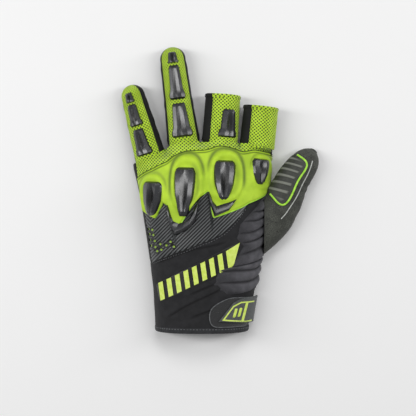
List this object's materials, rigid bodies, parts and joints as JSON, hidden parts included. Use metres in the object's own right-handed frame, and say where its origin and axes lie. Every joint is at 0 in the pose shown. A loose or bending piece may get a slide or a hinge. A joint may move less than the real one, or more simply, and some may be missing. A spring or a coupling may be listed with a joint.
{
  "type": "protective sports glove",
  "caption": "Left-hand padded riding glove with hard knuckle and finger armour, cut-off index and middle fingers and a wrist strap.",
  "frame": {"origin": "middle of the bounding box at the height of the palm face that the glove lies on", "axes": "+X to the thumb side, +Y to the fingertips, +Z out of the back of the hand"},
  "size_m": [0.1656, 0.2386, 0.0448],
  "materials": {
    "mesh": "open knit",
    "foam": "moulded, matt",
    "armour": "gloss",
    "rib_rubber": "ribbed, satin",
    "cuff_fabric": "tightly woven",
    "stretch_fabric": "pleated stretch cloth",
    "leather": "suede",
    "lining": "fine knit",
    "fourchette": "stretch knit",
    "badge": "moulded, matt",
    "strap_rubber": "satin",
    "pile": "looped pile",
    "hooks": "hook tape"
  },
  "bodies": {
    "hand": {"back_lining": "lining", "palm_panel": "leather", "mesh_yoke": "mesh", "ribbed_panel": "rib_rubber", "stretch_panel": "stretch_fabric", "cuff_panel": "cuff_fabric", "side_gusset": "fourchette", "knuckle_foam": "foam", "knuckle_panel": "foam", "cuff_binding": "cuff_fabric", "cuff_badge": "badge", "loop_pad": "pile", "strap_anchor": "cuff_fabric", "knuckle_plate_little": "armour", "knuckle_plate_ring": "armour", "knuckle_plate_middle": "armour", "knuckle_plate_index": "armour", "knuckle_chevron_ring": "armour", "knuckle_chevron_middle": "armour"},
    "strap": {"strap_tab": "strap_rubber", "hook_pad": "hooks", "strap_badge": "badge"},
    "little_base": {"little_base_back": "mesh", "little_base_wrap": "fourchette", "little_base_plate": "armour"},
    "little_middle": {"little_middle_back": "mesh", "little_middle_wrap": "fourchette", "little_middle_plate": "armour"},
    "little_tip": {"little_tip_back": "mesh", "little_tip_wrap": "fourchette", "little_tip_plate": "armour"},
    "ring_base": {"ring_base_back": "mesh", "ring_base_wrap": "fourchette", "ring_base_plate": "armour"},
    "ring_middle": {"ring_middle_back": "mesh", "ring_middle_wrap": "fourchette", "ring_middle_plate": "armour"},
    "ring_tip": {"ring_tip_back": "mesh", "ring_tip_wrap": "fourchette", "ring_tip_plate": "armour"},
    "middle_stub": {"middle_stub_back": "mesh", "middle_stub_wrap": "fourchette", "middle_stub_plate": "armour", "middle_hem": "fourchette"},
    "index_stub": {"index_stub_back": "mesh", "index_stub_wrap": "fourchette", "index_hem": "fourchette"},
    "thumb_base": {"thumb_sleeve": "leather", "thumb_patch_lower": "rib_rubber"},
    "thumb_tip": {"thumb_tip_sleeve": "leather", "thumb_patch_upper": "rib_rubber"}
  },
  "joints": [
    {"name": "strap_open", "type": "hinge", "parent": "hand", "child": "strap", "pos_m": [0.02827, -0.09934, 0.01], "axis": [0, 1, 0], "range_deg": [0, 110]},
    {"name": "little_base_bend", "type": "hinge", "parent": "hand", "child": "little_base", "pos_m": [-0.05807, 0.02437, 0.0107], "axis": [-0.9617, -0.274, 0], "range_deg": [-10, 60]},
    {"name": "little_middle_bend", "type": "hinge", "parent": "little_base", "child": "little_middle", "pos_m": [-0.06596, 0.05207, 0.0097], "axis": [-0.9617, -0.274, 0], "range_deg": [0, 70]},
    {"name": "little_tip_bend", "type": "hinge", "parent": "little_middle", "child": "little_tip", "pos_m": [-0.07158, 0.07179, 0.009], "axis": [-0.9617, -0.274, 0], "range_deg": [0, 42]},
    {"name": "ring_base_bend", "type": "hinge", "parent": "hand", "child": "ring_base", "pos_m": [-0.03091, 0.0394, 0.0117], "axis": [-0.9914, -0.1305, 0], "range_deg": [-10, 60]},
    {"name": "ring_middle_bend", "type": "hinge", "parent": "ring_base", "child": "ring_middle", "pos_m": [-0.0353, 0.07271, 0.0102], "axis": [-0.9914, -0.1305, 0], "range_deg": [0, 70]},
    {"name": "ring_tip_bend", "type": "hinge", "parent": "ring_middle", "child": "ring_tip", "pos_m": [-0.03941, 0.10394, 0.0094], "axis": [-0.9914, -0.1305, 0], "range_deg": [0, 42]},
    {"name": "middle_stub_bend", "type": "hinge", "parent": "hand", "child": "middle_stub", "pos_m": [-0.00072, 0.03893, 0.0122], "axis": [-0.9976, 0.0698, 0], "range_deg": [-10, 60]},
    {"name": "index_stub_bend", "type": "hinge", "parent": "hand", "child": "index_stub", "pos_m": [0.03051, 0.03611, 0.0122], "axis": [-0.9945, 0.1045, 0], "range_deg": [-10, 60]},
    {"name": "thumb_root_bend", "type": "hinge", "parent": "hand", "child": "thumb_base", "pos_m": [0.03686, -0.03087, 0.0118], "axis": [0, 1, 0], "range_deg": [-10, 30]},
    {"name": "thumb_tip_bend", "type": "hinge", "parent": "thumb_base", "child": "thumb_tip", "pos_m": [0.06076, 0.00793, 0.01099], "axis": [-0.8028, 0.5962, 0], "range_deg": [0, 55]}
  ],
  "couplings": [
    {"joint": "little_tip_bend", "follows": "little_middle_bend", "ratio": 0.6},
    {"joint": "ring_tip_bend", "follows": "ring_middle_bend", "ratio": 0.6}
  ]
}
